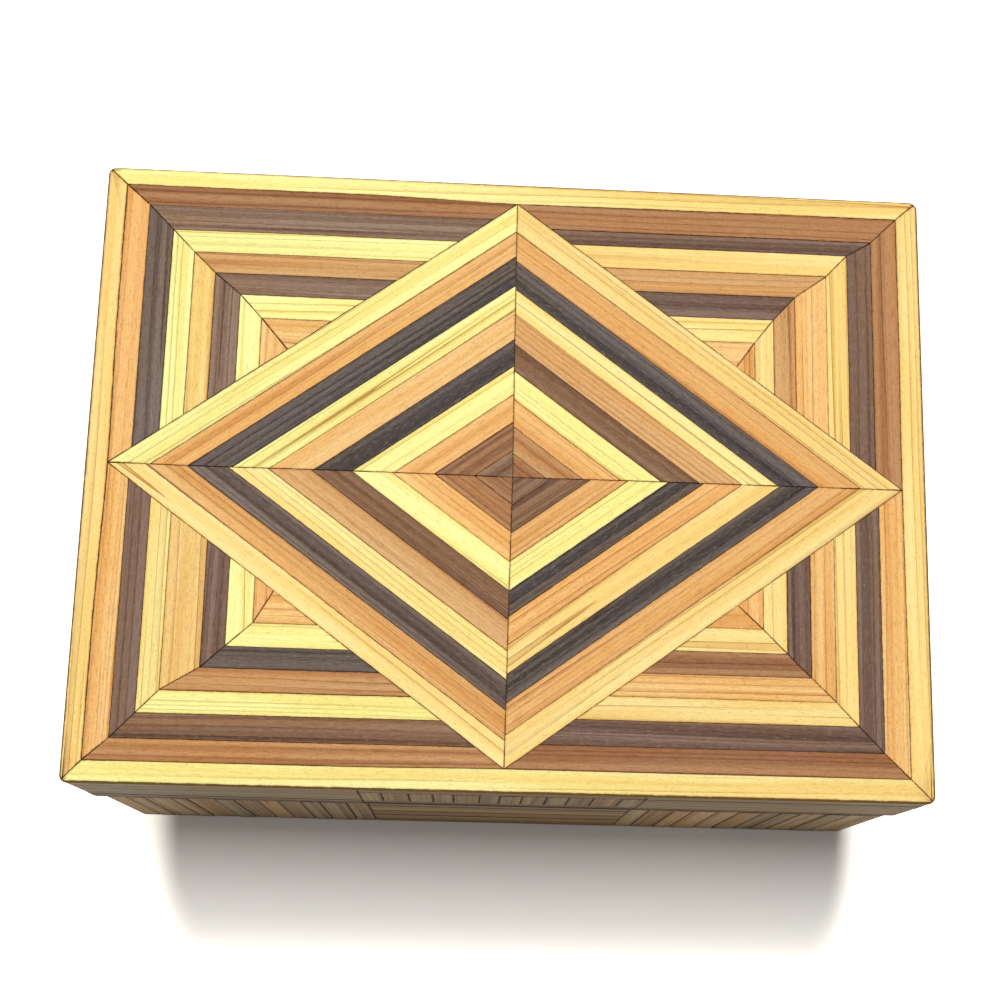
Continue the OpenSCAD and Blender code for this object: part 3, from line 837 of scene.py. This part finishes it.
def cleanness_and_shade(loop, direction, outward, edge_clean):
    """How clean a face corner of a strip is: less at its joints, and round the lid's outline, where
    painted shade of the rounded edge joins the dirt.
    """
    around = loop.vert.link_faces
    slopes = [face.normal for face in around if face.normal.dot(outward) < FLAT_FACING]
    if not slopes:
        return 1
    place = loop.vert.co
    inside = min(HALF_WIDTH - abs(place.x), HALF_DEPTH - abs(place.y))
    # Round the lid's outline: dirt, and painted shade of the rounded edge, darker down the edge
    if outward == Z and inside < OUTLINE_REACH:
        low, high = OUTLINE_DIRT_AND_SHADE
        clean = high - (high - low) * min((LID_TOP - place.z) / OUTLINE_DROP, 1)
    elif outward == Z and abs(place.x + RIM_WIDTH) < OLD_JOINT_REACH:
        clean = OLD_JOINT_CLEAN
    elif outward != Z and is_round_corner(place, outward, slopes):
        clean = CORNER_CLEAN
    else:
        level = [(normal - outward * normal.dot(outward)).normalized() for normal in slopes]
        is_strip_end = any(abs(way.dot(direction)) > END_FACING for way in level)
        clean = END_CLEAN if is_strip_end else edge_clean
    # The seen side takes half the darkening at its rim's outer edge, fading inwards: dirt, and
    # painted shade where the strip rounds over
    return (1 + clean) / 2 if loop.face.normal.dot(outward) > FLAT_FACING else clean


def flatten(solid, outward, top):
    """Makes the seen side level again where a bevel at a sharp corner has warped it."""
    for face in solid.faces:
        if face.normal.dot(outward) > FLAT_FACING:
            for vert in face.verts:
                lift = top - vert.co.dot(outward)
                if abs(lift) < LEVEL_SLACK:
                    vert.co += outward * lift
    for vert in solid.verts:
        vert.co -= outward * max(vert.co.dot(outward) - top, 0)


def bevel_part(solid, outward, bevel):
    """Bevels one strip or board, and marks off a narrow rim round its seen side."""
    top = reach_along(solid, outward)[1]
    sharp = [
        edge for edge in solid.edges
        if len(edge.link_faces) == 2 and edge.calc_face_angle(0) > SHARP_ANGLE
    ]
    bmesh.ops.bevel(
        solid, geom=sharp, offset=bevel, offset_type="OFFSET", segments=BEVEL_STEPS, profile=0.5,
        affect="EDGES", clamp_overlap=True, material=-1,
    )
    solid.normal_update()
    flatten(solid, outward, top)
    solid.normal_update()
    level = top - MERGE_DISTANCE
    shown = [
        face for face in solid.faces
        if all(vert.co.dot(outward) > level for vert in face.verts)
    ]
    bmesh.ops.inset_region(
        solid, faces=shown, thickness=SOILED_SHADED_RIM, use_boundary=True, use_even_offset=False
    )
    solid.normal_update()


def finish_part(solid, direction, outward, bevel, colour_at, is_board, pick):
    """Bevels a strip or board and writes its grain map and its stain, with how clean it is."""
    bmesh.ops.remove_doubles(solid, verts=solid.verts, dist=SHORTEST_EDGE)
    grain = solid.loops.layers.uv.new("grain")
    stain = solid.loops.layers.float_color.new("stain")
    bevel_part(solid, outward, bevel)
    across = outward.cross(direction)
    start = Vector((pick.uniform(0, GRAIN_SPREAD), pick.uniform(0, GRAIN_SPREAD)))
    edge_clean = pick.uniform(*(EDGE_CLEAN if outward == Z else SIDE_EDGE_CLEAN))
    for face in solid.faces:
        face.smooth = False
        for loop in face.loops:
            place = loop.vert.co
            if is_board:
                clean = board_cleanness(loop, outward)
            else:
                clean = cleanness_and_shade(loop, direction, outward, edge_clean)
            loop[stain] = (*colour_at(place), clean)
            aside = place.dot(across) + place.dot(outward)
            loop[grain].uv = (place.dot(direction) + start.x, aside + start.y)


def tone_drift(amount, pick):
    """Factors for a colour: lighter or darker, and a third as much warmer or cooler."""
    light = 1 + pick.uniform(-amount, amount)
    warm = pick.uniform(-amount, amount) / 3
    return Vector((light * (1 + warm), light, light * (1 - warm)))


def dress(node, direction_of, colour_of, bevel, drift, shape=None):
    """Makes the finished copy of a frame node, strip by strip."""
    whole = bmesh.new()
    whole.loops.layers.uv.new("grain")
    whole.loops.layers.float_color.new("stain")
    stock = merged_copy(node)
    spare = bpy.data.meshes.new("spare")
    is_board = SLOT_OF[node] == "board_wood"
    outward = -Z if node == "bottom_board" else outward_of(node)
    for number, part in enumerate(loose_parts(stock)):
        pick = random.Random(f"{node}{number}")
        solid = single_part(stock, part)
        middle = middle_of(solid)
        if shape:
            shape(solid, middle, pick)
        tone = tone_drift(drift, pick)

        def colour_at(place):
            return colour_of(middle, place) * tone

        finish_part(solid, direction_of(middle), outward, bevel, colour_at, is_board, pick)
        solid.to_mesh(spare)
        solid.free()
        whole.from_mesh(spare)
    stock.free()
    bpy.data.meshes.remove(spare)
    mesh = bpy.data.meshes.new(f"{node}_wood")
    whole.to_mesh(mesh)
    whole.free()
    piece = bpy.data.objects.new(f"{node}_wood", mesh)
    bpy.context.scene.collection.objects.link(piece)
    mesh.materials.append(MATERIALS[SLOT_OF[node]])
    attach(piece, BODY_OF[node])
    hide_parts(node)


def straight_direction(middle):
    """The grain of a frame or corner strip round this point."""
    return X if is_level(middle) else Y


def diamond_direction(middle):
    """Along the diamond's rim in the quarter of a point."""
    return Vector((RIM_WIDTH, -math.copysign(RIM_DEPTH, middle.x * middle.y), 0)).normalized()


def dress_diamond_ring(ring):
    """Four strips round the middle of the lid, one in each quarter."""
    def colour_of(middle, place):
        return linear(WOODS[DIAMOND_WOODS[corner_of(middle)][ring - 1]])

    def shape(solid, middle, pick):
        widen(solid, diamond_direction(middle), pick.uniform(0, TOP_SPREAD))
        cut_along(solid, diamond_direction(middle))
        move_diamond_strip(solid, corner_of(middle))
        settle(solid)
        sink(solid, Z, pick.uniform(0, SINK))

    dress(f"diamond_ring_{ring}", diamond_direction, colour_of, TOP_BEVEL, TONE_DRIFT, shape)


def dress_corner_ring(ring):
    """A level and an upright strip in each corner of the lid, mitred together."""
    def colour_of(middle, place):
        woods = LEVEL_WOODS if is_level(middle) else UPRIGHT_WOODS
        return linear(WOODS[woods[corner_of(middle)][ring - 1]])

    def shape(solid, middle, pick):
        widen(solid, straight_direction(middle), pick.uniform(0, TOP_SPREAD))
        cut_along(solid, straight_direction(middle))
        move_corner_strip(solid, is_level(middle), corner_of(middle))
        settle(solid)
        sink(solid, Z, pick.uniform(0, SINK))

    dress(f"corner_ring_{ring}", straight_direction, colour_of, TOP_BEVEL, TONE_DRIFT, shape)


def dress_frame_strips():
    """The four strips round the lid."""
    def colour_of(middle, place):
        side, end = corner_of(middle)
        woods = FRAME_WOODS[end if is_level(middle) else side]
        left, right = (linear(WOODS[wood]) for wood in woods)
        return left.lerp(right, (place.x / HALF_WIDTH + 1) / 2)

    def shape(solid, middle, pick):
        cut_along(solid, straight_direction(middle))
        move_frame_strip(solid, is_level(middle))
        settle(solid)

    dress("border_strips", straight_direction, colour_of, TOP_BEVEL, TONE_DRIFT, shape)


def upright_joints(node):
    """The joints along a row of upright strips, each with its own drift."""
    stock = merged_copy(node)
    way = level_way(node)
    spans = []
    for part in loose_parts(stock):
        solid = single_part(stock, part)
        spans.append(reach_along(solid, way))
        solid.free()
    stock.free()
    spans.sort()
    pick = random.Random(node)
    levels, drifts = [spans[0][0]], [0.0]
    for before, after in zip(spans, spans[1:]):
        if after[0] - before[1] > SECTION_GAP:
            levels += [before[1], after[0]]
            drifts += [0.0, 0.0]
        else:
            levels.append((before[1] + after[0]) / 2)
            drifts.append(pick.uniform(-1, 1) * UPRIGHT_JOINT_DRIFT)
    return levels + [spans[-1][1]], drifts + [0.0]


def course_joints(node):
    """The level joints of one face of the lid or the body, each with its own drift."""
    base, face, _ = node.split("_")
    low, high = (corner.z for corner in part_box(f"{base}_{face}_courses"))
    count = LID_COURSES if base == "lid" else BODY_COURSES
    pick = random.Random(f"{base}{face}")
    levels = [low + (high - low) * step / count for step in range(count + 1)]
    drifts = [pick.uniform(-1, 1) * COURSE_JOINT_DRIFT for _ in range(count - 1)]
    top_drift = 0.0 if base == "lid" else -BODY_TOP_GAP
    return levels, [0.0] + drifts + [top_drift]


def dress_side(node):
    """Strips on the front, back and ends: joints, depths and tops vary, as they were laid."""
    base, _, kind = node.split("_")
    upright = kind != "courses"
    direction = Z if upright else level_way(node)
    flat_joints = None if kind == "uprights" else course_joints(node)
    tall_joints = upright_joints(node) if upright else None
    wood = linear(SIDE_WOODS[f"{base}_{kind}"])

    def shape(solid, middle, pick):
        axis = 1 if level_way(node) == Y else 0
        top = reach_along(solid, Z)[1]
        short = pick.uniform(0, SHORT_TOP) if kind == "uprights" else 0
        for vert in solid.verts:
            if flat_joints:
                vert.co.z += drift_at(vert.co.z, *flat_joints)
            elif vert.co.z > top - MERGE_DISTANCE:
                vert.co.z -= short
            if tall_joints:
                vert.co[axis] += drift_at(vert.co[axis], *tall_joints)
        sink(solid, outward_of(node), pick.uniform(0, SIDE_SINK))

    dress(
        node, lambda middle: direction, lambda middle, place: wood,
        SIDE_BEVEL, SIDE_TONE_DRIFT, shape,
    )


def dress_board(node):
    """One board of the carcass."""
    direction = X if node in ("bottom_board", "lid_panel") else level_way(node)
    wood = linear(BOARD_WOOD)
    dress(
        node, lambda middle: direction, lambda middle, place: wood, BOARD_BEVEL, TONE_DRIFT
    )


make_camera()
make_room()
make_window()
make_floor()

MATERIALS = {
    "board_wood": strip_wood(
        "plain_board", crossings=6.0, lines=0.4, bands=0.4, fibres=0.5, rubbed=0.0,
        roughness=0.58, relief=0.03 * MM,
    ),
    # The sides also take painted shade and dirt under the lid's overhang, and a darkening towards
    # the foot
    "side_strip_wood": strip_wood(
        "worn_side_strip", crossings=9.0, lines=1.0, bands=0.9, fibres=0.8, rubbed=0.3,
        roughness=0.62, relief=0.06 * MM, dirt=0.7, darkening_of=seam_shade_and_dirt,
    ),
    "pale_strip_wood": strip_wood(
        "pale_varnished_strip", crossings=7.0, lines=0.9, bands=0.5, fibres=0.45, rubbed=0.0,
        roughness=0.5, relief=0.02 * MM,
    ),
    "yellow_strip_wood": strip_wood(
        "yellow_varnished_strip", crossings=7.0, lines=1.0, bands=0.5, fibres=0.45, rubbed=0.0,
        roughness=0.5, relief=0.02 * MM,
    ),
    "orange_strip_wood": strip_wood(
        "orange_varnished_strip", crossings=7.0, lines=1.0, bands=0.7, fibres=0.65, rubbed=0.1,
        roughness=0.5, relief=0.02 * MM,
    ),
    "brown_strip_wood": strip_wood(
        "brown_stained_strip", crossings=7.0, lines=1.0, bands=0.9, fibres=0.75, rubbed=0.3,
        roughness=0.52, relief=0.025 * MM,
    ),
    "dark_strip_wood": strip_wood(
        "dark_stained_strip", crossings=7.0, lines=1.0, bands=0.9, fibres=0.8, rubbed=0.55,
        roughness=0.52, relief=0.03 * MM,
    ),
    "slate_strip_wood": strip_wood(
        "slate_stained_strip", crossings=7.0, lines=1.0, bands=1.0, fibres=0.8, rubbed=0.6,
        roughness=0.54, relief=0.03 * MM,
    ),
    "hinge_brass": metal("dull_brass", (0.62, 0.44, 0.16, 1), (0.40, 0.26, 0.09, 1), 0.34),
    "pin_steel": metal("dull_steel", (0.52, 0.52, 0.50, 1), (0.22, 0.20, 0.18, 1), 0.32),
    "screw_brass": metal("worn_brass", (0.58, 0.42, 0.18, 1), (0.34, 0.22, 0.08, 1), 0.36),
}

# Without a seed, this noise differs from run to run
noise.seed_set(WAVER_SEED)
dress_frame_strips()
for ring in range(1, CORNER_RINGS + 1):
    dress_corner_ring(ring)
for ring in range(1, DIAMOND_RINGS + 1):
    dress_diamond_ring(ring)
for node, slot in SLOT_OF.items():
    if slot == "side_strip_wood":
        dress_side(node)
    elif slot == "board_wood":
        dress_board(node)
    elif slot in ("hinge_brass", "pin_steel", "screw_brass"):
        hinge_mesh = frame["nodes"][node].data
        hinge_mesh.materials.clear()
        hinge_mesh.materials.append(MATERIALS[slot])
